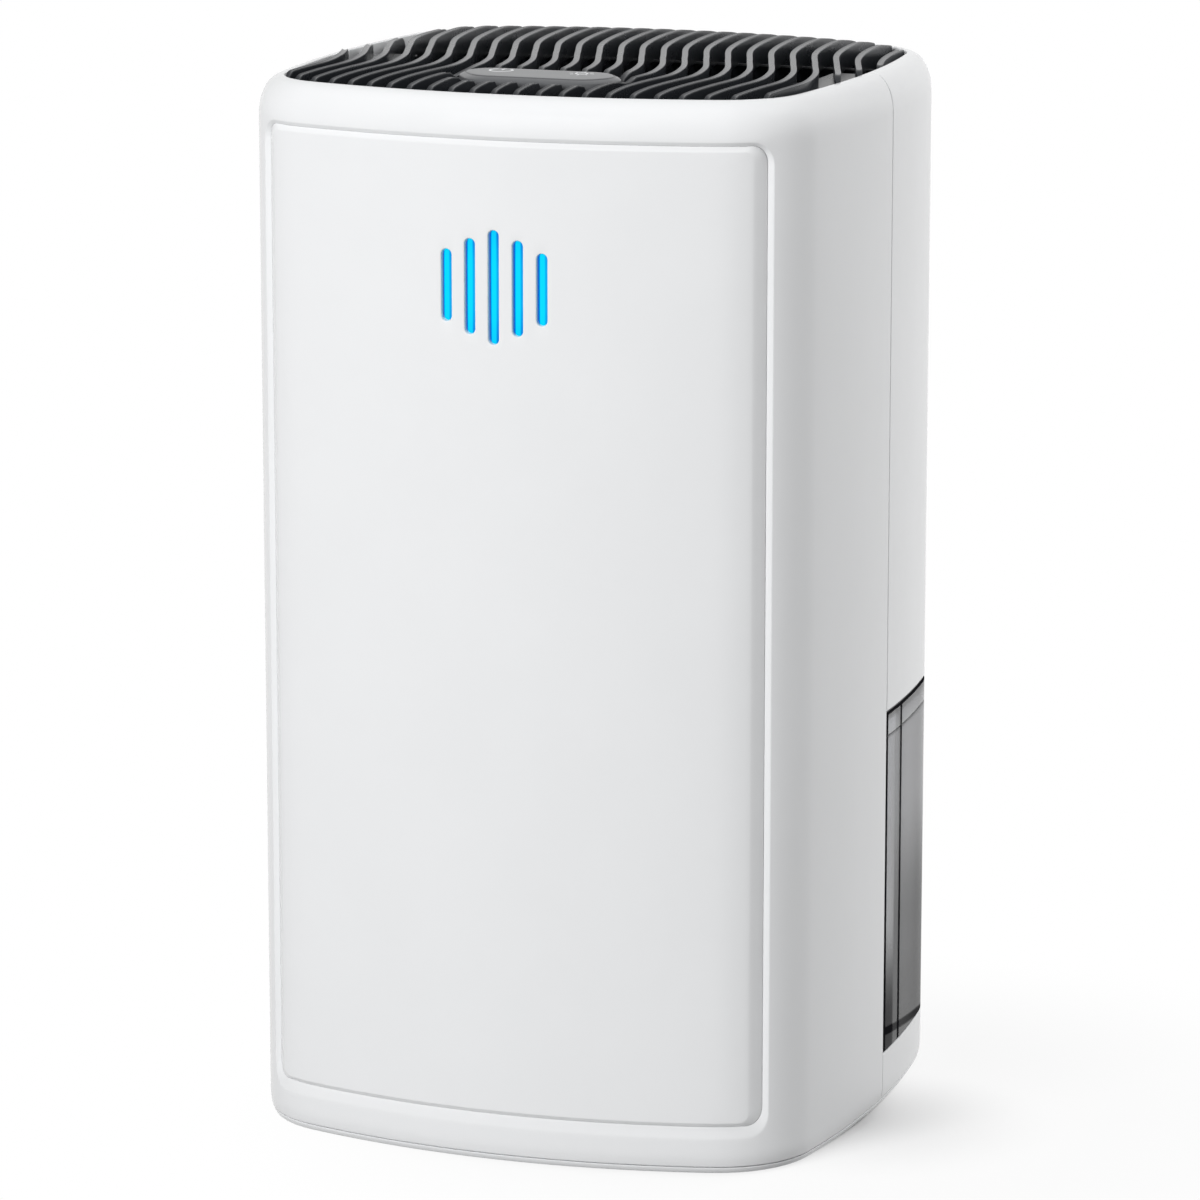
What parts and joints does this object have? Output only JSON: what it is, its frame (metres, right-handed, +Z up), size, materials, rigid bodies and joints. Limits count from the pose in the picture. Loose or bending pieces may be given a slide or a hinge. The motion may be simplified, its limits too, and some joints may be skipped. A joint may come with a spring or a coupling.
{
  "type": "dehumidifier",
  "caption": "Small upright dehumidifier with a curved top grille and touch pad, a bar light window in a flush front panel, and a smoked water tank that slides out at the back.",
  "frame": {"origin": "on the ground, under the middle of the housing", "axes": "+Z up, the front panel faces -Y, +X is to the right when seen from the front"},
  "size_m": [0.2208, 0.2188, 0.3916],
  "materials": {
    "white_gloss": "smooth glossy white ABS",
    "cyan_light": "clear light guide glowing cyan",
    "dark_grey_plastic": "satin dark grey moulding",
    "grey_pad": "satin mid grey touch cap",
    "black_plastic": "black moulded plastic",
    "smoked_plastic": "smoked see-through plastic",
    "white_float": "white hollow float",
    "sink_aluminium": "extruded aluminium",
    "module_ceramic": "bare alumina",
    "black_foam": "closed-cell foam",
    "circuit_board": "green solder mask",
    "foot_rubber": "matt black rubber",
    "bright_steel": "plated steel"
  },
  "bodies": {
    "housing": {"front_housing": "white_gloss", "rear_housing": "white_gloss", "base_cover": "white_gloss", "front_panel": "white_gloss", "light_guide": "cyan_light", "led_board": "circuit_board", "top_grille": "dark_grey_plastic", "control_pad": "grey_pad", "touch_board": "circuit_board", "tank_bay": "black_plastic", "drip_tray": "black_plastic", "cold_sink": "sink_aluminium", "hot_sink": "sink_aluminium", "cooling_module_left": "module_ceramic", "cooling_module_right": "module_ceramic", "foam_gasket": "black_foam", "partition": "black_plastic", "fan_deck": "black_plastic", "fan_frame": "black_plastic", "main_board": "circuit_board", "reed_switch": "module_ceramic", "dc_jack": "black_plastic", "foot_1": "foot_rubber", "base_screw_1": "bright_steel", "clamp_screw_1": "bright_steel", "fan_screw_1": "bright_steel", "foot_2": "foot_rubber", "base_screw_2": "bright_steel", "clamp_screw_2": "bright_steel", "fan_screw_2": "bright_steel", "foot_3": "foot_rubber", "base_screw_3": "bright_steel", "clamp_screw_3": "bright_steel", "fan_screw_3": "bright_steel", "foot_4": "foot_rubber", "base_screw_4": "bright_steel", "clamp_screw_4": "bright_steel", "fan_screw_4": "bright_steel"},
    "tank": {"tank": "smoked_plastic", "tank_lid": "smoked_plastic"},
    "float": {"tank_float": "white_float", "float_magnet": "bright_steel"},
    "rotor": {"fan_rotor": "black_plastic"}
  },
  "joints": [
    {"name": "fan_spin", "type": "hinge", "parent": "housing", "child": "rotor", "pos_m": [0, 0, 0.334], "axis": [0, 0, 1], "continuous": true},
    {"name": "tank_slide", "type": "slide", "parent": "housing", "child": "tank", "axis": [0, 1, 0], "range_m": [0, 0.13]},
    {"name": "float_swing", "type": "hinge", "parent": "tank", "child": "float", "pos_m": [-0.045, 0.019, 0.118], "axis": [1, 0, 0], "range_deg": [0, 18]}
  ]
}
